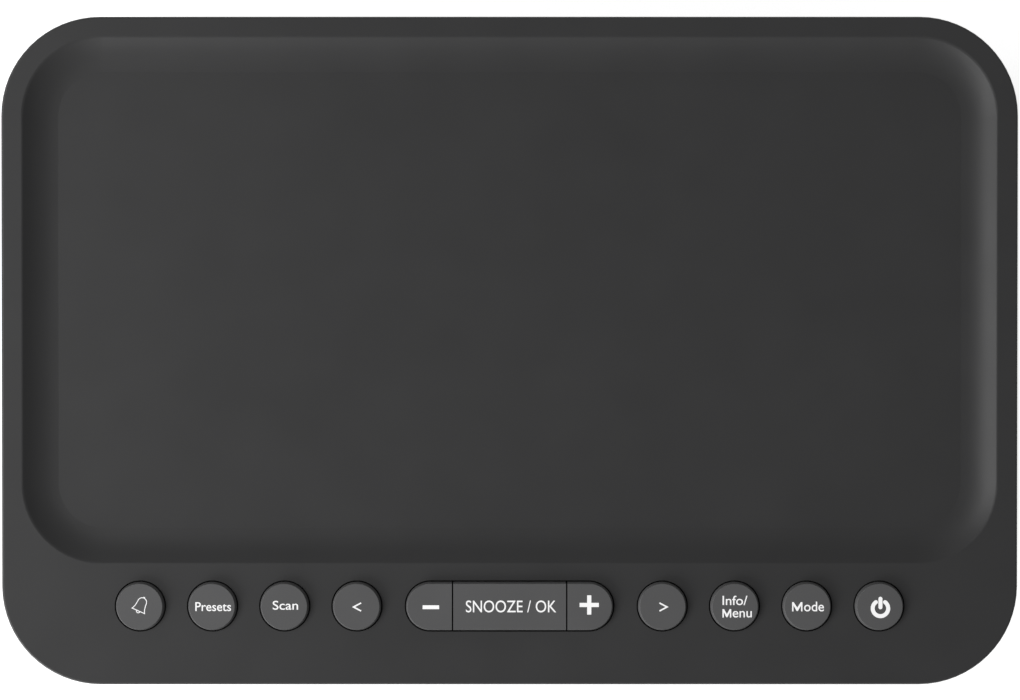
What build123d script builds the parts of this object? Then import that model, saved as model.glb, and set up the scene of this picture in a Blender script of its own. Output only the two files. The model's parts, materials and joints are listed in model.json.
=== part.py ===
"""Tabletop radio with a phone tray and a row of keys on its top cover.

Millimetres, +Z up. The origin is the middle of the footprint, on the surface
that the feet stand on. The front, with the display and the loudspeakers, faces
-Y, and +X is to the right of someone in front of it.
"""
from build123d import *
import os
from math import asin, atan, cos, degrees, radians, sin, tan

# ---- Driving dimensions -------------------------------------------------------
WIDTH = 180.0
DEPTH = 118.3
HEIGHT = 64.0          # to the top cover's rim; the keys stand a little higher
CORNER_R = 17.5
WALL = 2.4
FIT_GAP = 0.15         # between pieces that slide into each other

FRONT_Y = -DEPTH / 2
REAR_Y = DEPTH / 2
INNER_FRONT_Y = FRONT_Y + WALL
INNER_REAR_Y = REAR_Y - WALL
CORNER_X = WIDTH / 2 - CORNER_R
CORNER_Y = DEPTH / 2 - CORNER_R

# Base cover and feet
FOOT_H = 1.8
FOOT_R = 6.0
FOOT_POCKET = 0.6
FOOT_X = 66.0
FOOT_Y = 42.0
BASE_T = 2.4
BASE_TOP = FOOT_H + BASE_T
BASE_INSET = 1.2
BASE_CHAMFER = 0.8
FOOT_EDGE_R = 0.5
LIP_T = 1.4
BASE_LIP_TOP = 7.8
LABEL_W = 58.0
LABEL_H = 26.0
LABEL_R = 2.0
LABEL_DEPTH = 0.3
BASE_VENTS = 9
BASE_VENT_LENGTH = 26.0
BASE_VENT_X = 36.0
BASE_VENT_Y = 8.0

# Shells
SEAM_Z = 50.0          # top edge of the two shells
REVEAL = 0.6           # shadow groove under the top cover
REVEAL_DEPTH = 1.2
SPLIT_Y = 25.0         # where the front shell meets the rear shell
TONGUE = 1.5

# Top cover
EDGE_R = 0.45
ROOF_Z = HEIGHT - 2.4
TRAY_W = 172.45
TRAY_L = 93.0
TRAY_Y = 9.0
TRAY_CORNER_R = 14.0
TRAY_DEPTH = 2.1
TRAY_FLOOR_Z = HEIGHT - TRAY_DEPTH
TRAY_UNDER_Z = TRAY_FLOOR_Z - 2.2
TRAY_STEP_Y = -38.4    # where the roof steps down from the keys to the tray
COVE_W = 6.0
COVE_R = COVE_W / sin(2 * atan(TRAY_DEPTH / COVE_W))
RIM_R = 0.7
RIM_MARGIN = 1.5       # the tray's rim lies further in than this from the outer faces
COVER_LIP_Z = 48.2
POST_X = 79.5
POST_Y = 48.65
POST_R = 3.2

# Keys and their switches
KEY_Y = -45.2
KEY_PITCH = 12.8
FIRST_KEY_X = 27.05
LEFT_KEYS = ("key_previous", "key_scan", "key_presets", "key_alarm")
RIGHT_KEYS = ("key_next", "key_info", "key_mode", "key_power")
KEY_R = 4.3            # up to the cover's top face
KEY_TOP_R = 4.05       # above it the cap's wall is drafted
KEY_TOP = HEIGHT + 1.0
KEY_DRAFT = degrees(atan((KEY_R - KEY_TOP_R) / (KEY_TOP - HEIGHT)))
KEY_EDGE_R = 0.1
KEY_HOLE_R = 4.5
HOLE_EDGE_R = 0.1
SLEEVE_R = 5.75
SLEEVE_Z = 58.6
FLANGE_R = 5.0
FLANGE_TOP = 58.5
FLANGE_T = 0.8
STEM_R = 1.7
STEM_Z = 54.8
PILL_LENGTH = 37.1     # of the hole for the three-part key
PILL_SPLIT_X = 10.1
PILL_GAP = 0.25
PILL_STEM_X = 14.3
PLUNGER_R = 1.6
PLUNGER_Z = 53.2
SWITCH_SIZE = 6.2
SWITCH_TOP = 54.0
SWITCH_BORE_R = 1.75
SWITCH_BORE_Z = 52.6
KEY_PCB_TOP = 50.5
KEY_PCB_T = 1.6
KEY_PCB_W = 151.0
KEY_PCB_REAR_Y = -38.2
KEY_PCB_FRONT_Y = -50.5
KEY_BOSS_X = (33.45, 72.6)
KEY_BOSS_Y = -40.7
KEY_BOSS_R = 2.1
KEY_BOSS_BORE = 6.0

# Display
DISPLAY_Z = 28.0
LENS_W = 76.0
LENS_H = 34.0
LENS_R = 4.0
LENS_T = 1.2
LENS_SET_BACK = 0.1
WINDOW_W = 66.0
WINDOW_H = 26.0
WINDOW_R = 1.0
LCD_W = 64.0
LCD_H = 25.4
LCD_T = 1.8
LCD_R = 0.4
LCD_FRONT_Y = INNER_FRONT_Y + 0.1
LENS_EDGE_R = 0.3
GUIDE_FRONT_Y = LCD_FRONT_Y + LCD_T
GUIDE_T = 3.0
FRAME_W = 69.0
FRAME_H = 31.0
FRAME_R = 1.5
DISPLAY_PCB_W = 80.4
DISPLAY_PCB_H = 36.0
DISPLAY_PCB_Y = -51.5
PCB_T = 1.6
DISPLAY_BOSS_X = 37.4
DISPLAY_BOSS_DZ = 15.0
DISPLAY_BOSS_R = 2.2
DISPLAY_BOSS_BORE = 4.0
BOARD_R = 1.0

# Grille and loudspeakers
SLOT_W = 1.3
SLOT_PITCH = 2.4
SLOT_Z = (12.5, 43.5)
FIRST_SLOT_X = 42.5
FLAT_SLOTS = 13
CORNER_SLOTS = 11
CLOTH_T = 0.4
CLOTH_Z = (10.0, 46.0)
CLOTH_X = 40.6
CLOTH_END_Y = 4 - CORNER_Y
SPEAKER_X = 58.5
SPEAKER_Z = 28.0
SPEAKER_R = 18.5
BASKET_FRONT_Y = -54.4
BASKET_T = 0.8
BASKET_REAR_Y = -45.5
BASKET_R = 17.2
BASKET_REAR_R = 12.0
BASKET_HOLE_R = 6.4
BASKET_WINDOW = 4.6
EAR_X = 8.9
EAR_DZ = 17.6
EAR_R = 2.6
EAR_BOSS_R = 2.1
EAR_BOSS_BORE = 2.6
SURROUND_R = (14.3, 17.0)
SURROUND_T = 0.4
CONE_R = 14.2
CONE_DEPTH = 4.2
CONE_FRONT_Y = BASKET_FRONT_Y - SURROUND_T
CAP_R = 6.2
CAP_H = 1.6
CAP_T = 0.5
COIL_R = (5.1, 5.4)
COIL_REAR_Y = -43.0
POLE_R = 4.9
MAGNET_R = 13.5
MAGNET_BORE_R = 7.0
PLATE_R = 12.0
PLATE_BORE_R = 5.6
PLATE_T = 1.4
MAGNET_REAR_Y = -38.2

# Rear panel
PANEL_X = (-62.0, 44.0)
PANEL_Z = (9.0, 29.0)
PANEL_DEPTH = 1.0
PANEL_R = 2.0
DC_X = -48.0
USB_X = -24.0
PHONES_X = 2.0
AERIAL_X = 28.0
PORT_Z = 20.0
VENT_SLOTS = 17
VENT_PITCH = 3.6
VENT_W = 1.6
VENT_Z = (34.0, 44.0)

# Main circuit board
MAIN_PCB_Z = 12.0
MAIN_PCB_TOP = MAIN_PCB_Z + PCB_T
MAIN_PCB_X = 70.0
MAIN_PCB_Y = (-22.0, 54.0)
STANDOFF_X = 64.0
STANDOFF_YS = (-16.0, 44.0)
STANDOFF_R = 3.0
TUNER_X = -38.0
TUNER_Y = 8.0
TUNER_SIZE = 36.0
TUNER_TOP = MAIN_PCB_TOP + 1.0
SHIELD_SIZE = 31.0
SHIELD_H = 3.2
SHIELD_T = 0.3
SHIELD_R = 0.5
CHIP_CHAMFER = 0.2
CAN_R = 0.5
# Each chip's x, y, width, depth and height
CHIPS = (
    (6, 14, 14, 14, 1.6),
    (32, 16, 10, 7, 1.7),
    (6, -8, 9, 6, 1.4),
    (52, 16, 8, 5, 1.5),
    (-8, 34, 5, 4, 1.2),
)
# Each capacitor's x, y, radius and height
CAPACITORS = (
    (30, 34, 4.0, 11.5),
    (40, 34, 4.0, 11.5),
    (52, 32, 3.15, 8.0),
    (20, 34, 3.15, 8.0),
    (-62, 22, 4.0, 11.5),
    (-62, 32, 3.15, 8.0),
    (20, -4, 2.5, 6.0),
)
# Each inductor's x, y and foot size, and the heights that all of them share
INDUCTORS = ((38, 4, 6.0), (50, 4, 6.0), (-22, 36, 5.0), (60, -4, 5.0))
DRUM_FOOT_H = 0.8
DRUM_CAP_Z = 3.0
DRUM_H = 4.0
# Each header's x, y and width, and the sizes that all of them share
CONNECTORS = ((40, -17, 8.0), (-40, -17, 8.0), (-4, -18, 15.0), (20, -18, 17.0))
CONNECTOR_D = 5.0
CONNECTOR_H = 5.0
CONNECTOR_WALL = 0.8
CONNECTOR_FLOOR = 1.5

# Connectors at the back
PORT_FACE_Y = REAR_Y - PANEL_DEPTH - 0.1
PORT_BODY_Y = INNER_REAR_Y - 0.2
DC_NOSE_R = 4.2
DC_BORE_R = 2.85
DC_BORE_DEPTH = 10.0
DC_PIN_R = 1.0
DC_PIN_SET_BACK = 1.2
DC_PIN_EDGE_R = 0.6
DC_BODY_W = 9.0
DC_BODY_TOP = PORT_Z + 4.6
DC_DEPTH = 14.0
USB_W = 13.2
USB_H = 5.8
USB_Z = 17.0
USB_DEPTH = 14.0
USB_SKIN = 0.35
USB_R = 0.5
USB_TONGUE_W = 11.2
USB_TONGUE_Z = (USB_Z + 0.2, USB_Z + 2.0)
USB_TONGUE_SET_BACK = 1.5
USB_LEG_DEPTH = 3.0
PHONES_Z = 17.2
PHONES_NOSE_R = 3.0
PHONES_BORE_R = 1.85
PHONES_BODY_W = 7.0
PHONES_BODY_TOP = PHONES_Z + 3.2
PHONES_DEPTH = 14.0
GLAND_NECK_R = 3.2
GLAND_FLANGE_R = 4.4
GLAND_BORE_R = 0.9
GLAND_FRONT_T = 0.9
GLAND_BACK_T = 1.2

# Wires held inside
WIRE_R = 0.6
WIRE_SPACING = 2.4
LEAD_X = 40.0
RIBBON_T = 0.3
KEY_RIBBON_X = 20.0
KEY_RIBBON_W = 14.0
DISPLAY_RIBBON_X = -4.0
DISPLAY_RIBBON_W = 12.0
PLUG_Z = MAIN_PCB_TOP + CONNECTOR_FLOOR
RUN_SHARE = 0.45       # how much of its shorter run each bend of a wire takes

# Screws
SCREW_R = 1.25
SCREW_HEAD_R = 2.4
SCREW_HEAD_T = 1.2
SCREW_HEAD_EDGE_R = 0.4
SCREW_PLAY = 0.2
RECESS_R = 0.9
RECESS_W = 0.5
RECESS_DEPTH = 0.7
BASE_SCREW_LENGTH = 8.0
BOARD_SCREW_LENGTH = 5.0
EAR_SCREW_LENGTH = 2.4

EPS = 1.0              # how far a cutter runs past the face that it opens
SAME = 0.01            # places closer than this are the same place


# ---- Shapes that several pieces use ---------------------------------------------
def outline(inset):
    """The radio's plan outline, moved inwards by inset."""
    return RectangleRounded(WIDTH - 2 * inset, DEPTH - 2 * inset, CORNER_R - inset)


def slab(sketch, z0, z1):
    """A plan sketch extruded from z0 up to z1."""
    return extrude(Pos(0, 0, z0) * sketch, amount=z1 - z0)


def band(inset0, inset1, z0, z1):
    """A closed wall that follows the plan outline between two insets."""
    return slab(outline(inset0), z0, z1) - slab(outline(inset1), z0, z1)


def block(x0, x1, y0, y1, z0, z1):
    """A box given by its limits."""
    centre = Pos((x0 + x1) / 2, (y0 + y1) / 2, (z0 + z1) / 2)
    return centre * Box(x1 - x0, y1 - y0, z1 - z0)


def post(x, y, r, z0, z1):
    """An upright cylinder."""
    return Pos(x, y, (z0 + z1) / 2) * Cylinder(r, z1 - z0)


def rod_y(x, z, r, y0, y1):
    """A cylinder along Y."""
    return Pos(x, (y0 + y1) / 2, z) * Rot(90, 0, 0) * Cylinder(r, y1 - y0)


def plate_y(w, h, r, x, z, y0, y1):
    """A rounded plate that faces along Y, w wide and h high."""
    return Pos(x, y1, z) * Rot(90, 0, 0) * extrude(RectangleRounded(w, h, r), amount=y1 - y0)


def turned_y(*points):
    """A solid of revolution about Y, from a closed outline of (radius, y) points."""
    return revolve(make_face(Polyline(*points, close=True)), axis=Axis.Y)


def wall_slot(x, y, angle, width, z0, z1):
    """A cutter for an upright slot with round ends through a wall at (x, y)."""
    upright = extrude(SlotOverall(z1 - z0, width, rotation=90), amount=2 * WALL, both=True)
    return Pos(x, y, (z0 + z1) / 2) * Rot(0, 0, angle) * Rot(90, 0, 0) * upright


def screw(length):
    """A pan-head screw on Z: its head is above Z = 0 and its shank below."""
    shank = post(0, 0, SCREW_R, -length, 0)
    head = post(0, 0, SCREW_HEAD_R, 0, SCREW_HEAD_T)
    head = fillet(head.edges().group_by(Axis.Z)[-1], SCREW_HEAD_EDGE_R)
    bar = Box(2 * RECESS_R, RECESS_W, 2 * RECESS_DEPTH)
    cross = bar + Rot(0, 0, 90) * bar
    return shank + head - Pos(0, 0, SCREW_HEAD_T) * cross


def bend_radii(points):
    """The largest easy radius for each corner of a wire's route."""
    radii = []
    for before, corner, after in zip(points, points[1:], points[2:]):
        run_in = Vector(*corner) - Vector(*before)
        run_out = Vector(*after) - Vector(*corner)
        turn = radians(run_in.get_angle(run_out))
        radii.append(RUN_SHARE * min(run_in.length, run_out.length) / tan(turn / 2))
    return radii


def wire(points, r):
    """A round wire of straight runs joined by tangent arcs."""
    path = FilletPolyline(*points, radius=bend_radii(points))
    return sweep(Plane(origin=path @ 0, z_dir=path % 0) * Circle(r), path=path)


def ribbon(points, width, thickness):
    """A flat ribbon whose width stays along X."""
    path = FilletPolyline(*points, radius=bend_radii(points))
    start = Plane(origin=path @ 0, x_dir=(1, 0, 0), z_dir=path % 0)
    return sweep(start * Rectangle(width, thickness), path=path)


def group(solids):
    """Several separate solids as one node."""
    return Compound(children=[piece for shape in solids for piece in shape.solids()])


def mirrored(shape):
    """The shape and its mirror image across the middle of the radio."""
    return [shape, shape.mirror(Plane.YZ)]


# ---- Casing -----------------------------------------------------------------------
def pill(length, r):
    """A plan outline with round ends."""
    return SlotOverall(length, 2 * r)


def key_xs():
    """Centre of each round key, by node name."""
    places = {name: -(FIRST_KEY_X + i * KEY_PITCH) for i, name in enumerate(LEFT_KEYS)}
    places.update({name: FIRST_KEY_X + i * KEY_PITCH for i, name in enumerate(RIGHT_KEYS)})
    return places


def top_cover():
    """The lid: a rim with a sunk tray that has coved sides, and holes for the keys."""
    lid = slab(outline(0), SEAM_Z + REVEAL, HEIGHT)
    lid = fillet(lid.edges().group_by(Axis.Z)[-1], EDGE_R)
    lid += slab(outline(REVEAL_DEPTH), SEAM_Z, SEAM_Z + 2 * REVEAL)
    lid -= slab(outline(WALL), SEAM_Z - EPS, TRAY_UNDER_Z)
    key_room = block(-WIDTH / 2, WIDTH / 2, FRONT_Y, TRAY_STEP_Y, TRAY_UNDER_Z - EPS, ROOF_Z)
    lid -= key_room & slab(outline(WALL), TRAY_UNDER_Z - EPS, ROOF_Z)

    floor_gap = 2 * (COVE_R - COVE_W)
    bowl_outline = RectangleRounded(
        TRAY_W + floor_gap, TRAY_L + floor_gap, TRAY_CORNER_R + COVE_R - COVE_W
    )
    bowl = extrude(Pos(0, TRAY_Y, TRAY_FLOOR_Z) * bowl_outline, amount=2 * COVE_R)
    bowl = fillet(bowl.edges().group_by(Axis.Z)[0], COVE_R)
    lid -= bowl
    lid = fillet(lid.edges().filter_by(is_tray_rim), RIM_R)

    lid += band(WALL + FIT_GAP, WALL + FIT_GAP + LIP_T, COVER_LIP_Z, SEAM_Z + REVEAL)
    lid += band(WALL - EPS, WALL + FIT_GAP + LIP_T, SEAM_Z, SEAM_Z + 2 * REVEAL)
    hole_tools = []
    for x in key_xs().values():
        lid += post(x, KEY_Y, SLEEVE_R, SLEEVE_Z, ROOF_Z + EPS)
        hole_tools.append(post(x, KEY_Y, KEY_HOLE_R, SLEEVE_Z - EPS, HEIGHT + EPS))
    sleeve = pill(PILL_LENGTH + 2 * (SLEEVE_R - KEY_HOLE_R), SLEEVE_R)
    lid += Pos(0, KEY_Y, 0) * slab(sleeve, SLEEVE_Z, ROOF_Z + EPS)
    long_hole = slab(pill(PILL_LENGTH, KEY_HOLE_R), SLEEVE_Z - EPS, HEIGHT + EPS)
    hole_tools.append(Pos(0, KEY_Y, 0) * long_hole)
    lid -= hole_tools
    lid = fillet(lid.edges().filter_by(is_key_hole_rim), HOLE_EDGE_R)

    for x in POST_X, -POST_X:
        for y in POST_Y, -POST_Y:
            post_top = TRAY_UNDER_Z if y > TRAY_STEP_Y else ROOF_Z
            lid += post(x, y, POST_R, BASE_TOP, post_top + FIT_GAP)
            lid -= post(x, y, SCREW_R, BASE_TOP - EPS, BASE_TOP + BASE_SCREW_LENGTH)
    for boss_x in KEY_BOSS_X:
        for x in boss_x, -boss_x:
            lid += post(x, KEY_BOSS_Y, KEY_BOSS_R, KEY_PCB_TOP, ROOF_Z)
            lid -= post(x, KEY_BOSS_Y, SCREW_R, KEY_PCB_TOP - EPS, KEY_PCB_TOP + KEY_BOSS_BORE)
    return lid


def is_on_top(edge):
    """True for an edge that lies in the cover's top face."""
    box = edge.bounding_box()
    return abs(box.min.Z - HEIGHT) < SAME and abs(box.max.Z - HEIGHT) < SAME


def is_tray_rim(edge):
    """True for the edges where the tray's cove meets the top face."""
    centre = edge.center()
    in_x = abs(centre.X) < WIDTH / 2 - RIM_MARGIN
    in_y = abs(centre.Y) < DEPTH / 2 - RIM_MARGIN
    return is_on_top(edge) and in_x and in_y


def is_key_hole_rim(edge):
    """True for the edges where the key holes meet the top face."""
    return is_on_top(edge) and abs(edge.center().Y - KEY_Y) < KEY_HOLE_R + SAME


def shell_ring():
    """The upright wall of the radio, before it is split in two."""
    return band(0, WALL, BASE_TOP, SEAM_Z)


def front_shell():
    """Front and sides, with the display window, the grille slots and the bosses."""
    shell = shell_ring() & block(-WIDTH, WIDTH, FRONT_Y, SPLIT_Y, 0, HEIGHT)
    tongue = band(WALL / 2 + FIT_GAP / 2, WALL, BASE_TOP, SEAM_Z)
    shell += tongue & block(-WIDTH, WIDTH, SPLIT_Y - EPS, SPLIT_Y + TONGUE, 0, HEIGHT)

    lens_seat_y = FRONT_Y + LENS_SET_BACK + LENS_T
    seat = plate_y(
        LENS_W + 2 * FIT_GAP, LENS_H + 2 * FIT_GAP, LENS_R + FIT_GAP,
        0, DISPLAY_Z, FRONT_Y - EPS, lens_seat_y,
    )
    shell -= seat
    shell -= plate_y(WINDOW_W, WINDOW_H, WINDOW_R, 0, DISPLAY_Z, FRONT_Y, INNER_FRONT_Y + EPS)

    shell -= grille_slots()
    for x in DISPLAY_BOSS_X, -DISPLAY_BOSS_X:
        for z in DISPLAY_Z - DISPLAY_BOSS_DZ, DISPLAY_Z + DISPLAY_BOSS_DZ:
            shell += rod_y(x, z, DISPLAY_BOSS_R, lens_seat_y, DISPLAY_PCB_Y)
            shell -= rod_y(x, z, SCREW_R, DISPLAY_PCB_Y - DISPLAY_BOSS_BORE, DISPLAY_PCB_Y + EPS)
    for x, z in ear_places():
        shell += rod_y(x, z, EAR_BOSS_R, FRONT_Y + WALL / 2, BASKET_FRONT_Y)
        shell -= rod_y(x, z, SCREW_R, BASKET_FRONT_Y - EAR_BOSS_BORE, BASKET_FRONT_Y + EPS)
    return shell


def grille_slots():
    """Cutters for the upright slots, from beside the display round each front corner."""
    slots = []
    wall_y = FRONT_Y + WALL / 2
    wall_r = CORNER_R - WALL / 2
    step = degrees(SLOT_PITCH / CORNER_R)
    for side in 1, -1:
        for i in range(FLAT_SLOTS):
            x = side * (FIRST_SLOT_X + i * SLOT_PITCH)
            slots.append(wall_slot(x, wall_y, 0, SLOT_W, *SLOT_Z))
        for i in range(CORNER_SLOTS):
            angle = side * step * (i + 0.5)
            x = side * CORNER_X + wall_r * sin(radians(angle))
            y = -CORNER_Y - wall_r * sin(radians(90 - abs(angle)))
            slots.append(wall_slot(x, y, angle, SLOT_W, *SLOT_Z))
    return slots


def ear_places():
    """X and Z of the eight loudspeaker screws."""
    return [
        (side * SPEAKER_X + ear * EAR_X, SPEAKER_Z + up * EAR_DZ)
        for side in (1, -1) for ear in (1, -1) for up in (1, -1)
    ]


def rear_shell():
    """Back and rear corners, with the sunk connector panel and the vent."""
    shell = shell_ring() & block(-WIDTH, WIDTH, SPLIT_Y, REAR_Y, 0, HEIGHT)
    rebate = band(WALL / 2 - FIT_GAP / 2, WALL + EPS, 0, HEIGHT)
    shell -= rebate & block(-WIDTH, WIDTH, 0, SPLIT_Y + TONGUE + FIT_GAP, 0, HEIGHT)

    panel_w = PANEL_X[1] - PANEL_X[0]
    panel_h = PANEL_Z[1] - PANEL_Z[0]
    panel_x = sum(PANEL_X) / 2
    panel_z = sum(PANEL_Z) / 2
    shell -= plate_y(panel_w, panel_h, PANEL_R, panel_x, panel_z, REAR_Y - PANEL_DEPTH, REAR_Y + EPS)

    through = (REAR_Y - 2 * WALL, REAR_Y + EPS)
    shell -= rod_y(DC_X, PORT_Z, DC_NOSE_R + FIT_GAP, *through)
    shell -= plate_y(USB_W + 2 * FIT_GAP, USB_H + 2 * FIT_GAP, USB_R, USB_X, USB_Z, *through)
    shell -= rod_y(PHONES_X, PHONES_Z, PHONES_NOSE_R + FIT_GAP, *through)
    shell -= rod_y(AERIAL_X, PORT_Z, GLAND_NECK_R, *through)
    middle = (VENT_SLOTS - 1) / 2
    shell -= [
        wall_slot((i - middle) * VENT_PITCH, REAR_Y - WALL / 2, 0, VENT_W, *VENT_Z)
        for i in range(VENT_SLOTS)
    ]
    return shell


def base_cover():
    """The plate underneath, with foot pockets, screw wells, vents and standoffs."""
    plate = slab(outline(BASE_INSET), FOOT_H, BASE_TOP)
    plate = chamfer(plate.edges().group_by(Axis.Z)[0], BASE_CHAMFER)
    plate += band(WALL + FIT_GAP, WALL + FIT_GAP + LIP_T, BASE_TOP, BASE_LIP_TOP)
    for x in STANDOFF_X, -STANDOFF_X:
        for y in STANDOFF_YS:
            plate += post(x, y, STANDOFF_R, BASE_TOP, MAIN_PCB_Z)
            plate -= post(x, y, SCREW_R, BASE_TOP + EPS, MAIN_PCB_Z + EPS)
    for x in FOOT_X, -FOOT_X:
        for y in FOOT_Y, -FOOT_Y:
            plate -= post(x, y, FOOT_R + FIT_GAP, 0, FOOT_H + FOOT_POCKET)
    for x in POST_X, -POST_X:
        for y in POST_Y, -POST_Y:
            plate -= post(x, y, SCREW_HEAD_R + SCREW_PLAY, 0, FOOT_H + SCREW_HEAD_T)
            plate -= post(x, y, SCREW_R + SCREW_PLAY, 0, BASE_TOP + EPS)
    plate -= slab(RectangleRounded(LABEL_W, LABEL_H, LABEL_R), 0, FOOT_H + LABEL_DEPTH)
    vent = slab(SlotOverall(BASE_VENT_LENGTH, VENT_W, rotation=90), 0, BASE_TOP + EPS)
    for i in range(BASE_VENTS):
        x = BASE_VENT_X + i * 2 * VENT_W
        plate -= Pos(x, BASE_VENT_Y, 0) * vent
        plate -= Pos(-x, BASE_VENT_Y, 0) * vent
    return plate


def rubber_feet():
    """Four round feet that sit in the base cover's pockets."""
    feet = []
    for x in FOOT_X, -FOOT_X:
        for y in FOOT_Y, -FOOT_Y:
            foot = post(x, y, FOOT_R, 0, FOOT_H + FOOT_POCKET)
            feet.append(fillet(foot.edges().group_by(Axis.Z)[0], FOOT_EDGE_R))
    return feet


def base_screws():
    """Four screws that pull the base cover up against the lid's posts."""
    upwards = Rot(180, 0, 0) * screw(BASE_SCREW_LENGTH)
    return [
        Pos(x, y, FOOT_H + SCREW_HEAD_T) * upwards
        for x in (POST_X, -POST_X) for y in (POST_Y, -POST_Y)
    ]


# ---- Keys -------------------------------------------------------------------------
def key_top(cap_outline, flange_outline):
    """A key's cap, drafted above the cover, on the flange that keeps it in."""
    cap = slab(cap_outline, FLANGE_TOP - FLANGE_T, HEIGHT)
    cap += extrude(Pos(0, 0, HEIGHT) * cap_outline, amount=KEY_TOP - HEIGHT, taper=KEY_DRAFT)
    cap = fillet(cap.edges().group_by(Axis.Z)[-1], KEY_EDGE_R)
    return cap + slab(flange_outline, FLANGE_TOP - FLANGE_T, FLANGE_TOP)


def on_stem(top, stem_x):
    """A whole key in its place: its top, its stem, and the plunger of its switch."""
    key = top + post(stem_x, 0, STEM_R, STEM_Z, FLANGE_TOP)
    plunger = post(stem_x, 0, PLUNGER_R, PLUNGER_Z, STEM_Z)
    return group([Pos(0, KEY_Y, 0) * key, Pos(0, KEY_Y, 0) * plunger])


def long_key_part(top, x0, x1, stem_x):
    """The part of the long key between x0 and x1."""
    return on_stem(top & block(x0, x1, -2 * KEY_R, 2 * KEY_R, STEM_Z, KEY_TOP + EPS), stem_x)


def keys():
    """All eleven keys, by node name."""
    round_top = key_top(Circle(KEY_R), Circle(FLANGE_R))
    made = {name: on_stem(Pos(x, 0, 0) * round_top, x) for name, x in key_xs().items()}
    play = KEY_HOLE_R - KEY_R
    lap = FLANGE_R - KEY_HOLE_R
    long_top = key_top(pill(PILL_LENGTH - 2 * play, KEY_R), pill(PILL_LENGTH + 2 * lap, FLANGE_R))
    near = PILL_SPLIT_X - PILL_GAP / 2
    far = PILL_SPLIT_X + PILL_GAP / 2
    made["key_snooze"] = long_key_part(long_top, -near, near, 0)
    made["key_plus"] = long_key_part(long_top, far, PILL_LENGTH, PILL_STEM_X)
    made["key_minus"] = long_key_part(long_top, -PILL_LENGTH, -far, -PILL_STEM_X)
    return made


def switch_xs():
    """X of every switch: one under each key."""
    return [*key_xs().values(), -PILL_STEM_X, 0, PILL_STEM_X]


def tact_switches():
    """The switch housings, each with a bore for its plunger."""
    half = SWITCH_SIZE / 2
    return [
        block(x - half, x + half, KEY_Y - half, KEY_Y + half, KEY_PCB_TOP, SWITCH_TOP)
        - post(x, KEY_Y, SWITCH_BORE_R, SWITCH_BORE_Z, SWITCH_TOP + EPS)
        for x in switch_xs()
    ]


def button_pcb():
    """The long board under the keys."""
    z0 = KEY_PCB_TOP - KEY_PCB_T
    half = KEY_PCB_W / 2
    board = block(-half, half, KEY_PCB_FRONT_Y, KEY_PCB_REAR_Y, z0, KEY_PCB_TOP)
    for boss_x in KEY_BOSS_X:
        for x in boss_x, -boss_x:
            board -= post(x, KEY_BOSS_Y, SCREW_R + FIT_GAP, z0 - EPS, KEY_PCB_TOP + EPS)
    return board


def button_pcb_screws():
    """Four screws that hold the key board against the lid's bosses."""
    upwards = Rot(180, 0, 0) * screw(BOARD_SCREW_LENGTH)
    return [
        Pos(side * x, KEY_BOSS_Y, KEY_PCB_TOP - KEY_PCB_T) * upwards
        for x in KEY_BOSS_X for side in (1, -1)
    ]


# ---- Display ----------------------------------------------------------------------
def display_lens():
    """The smoked window, set a little behind the front face."""
    front = FRONT_Y + LENS_SET_BACK
    lens = plate_y(LENS_W, LENS_H, LENS_R, 0, DISPLAY_Z, front, front + LENS_T)
    return fillet(lens.edges().group_by(Axis.Y)[0], LENS_EDGE_R)


def lcd_panel():
    """The glass that shows the time."""
    return plate_y(LCD_W, LCD_H, LCD_R, 0, DISPLAY_Z, LCD_FRONT_Y, GUIDE_FRONT_Y)


def backlight_guide():
    """The clear block that spreads the light behind the glass."""
    rear_y = GUIDE_FRONT_Y + GUIDE_T
    return plate_y(LCD_W, LCD_H, LCD_R, 0, DISPLAY_Z, GUIDE_FRONT_Y, rear_y)


def display_frame():
    """A moulded surround that holds the panel and its backlight on their board."""
    body = plate_y(FRAME_W, FRAME_H, FRAME_R, 0, DISPLAY_Z, LCD_FRONT_Y, DISPLAY_PCB_Y)
    room = plate_y(
        LCD_W + 2 * FIT_GAP, LCD_H + 2 * FIT_GAP, LCD_R,
        0, DISPLAY_Z, LCD_FRONT_Y - EPS, DISPLAY_PCB_Y + EPS,
    )
    return body - room


def display_pcb():
    """The display's board, with a hole for each of its four screws."""
    rear_y = DISPLAY_PCB_Y + PCB_T
    board = plate_y(DISPLAY_PCB_W, DISPLAY_PCB_H, BOARD_R, 0, DISPLAY_Z, DISPLAY_PCB_Y, rear_y)
    for x, z in display_boss_places():
        board -= rod_y(x, z, SCREW_R + FIT_GAP, DISPLAY_PCB_Y - EPS, rear_y + EPS)
    return board


def display_boss_places():
    """X and Z of the four bosses behind the display's board."""
    return [
        (side * DISPLAY_BOSS_X, DISPLAY_Z + up * DISPLAY_BOSS_DZ)
        for side in (1, -1) for up in (1, -1)
    ]


def display_screws():
    """Four screws that hold the display's board to the front shell."""
    forwards = Rot(-90, 0, 0) * screw(BOARD_SCREW_LENGTH)
    return [
        Pos(x, DISPLAY_PCB_Y + PCB_T, z) * forwards for x, z in display_boss_places()
    ]


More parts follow.
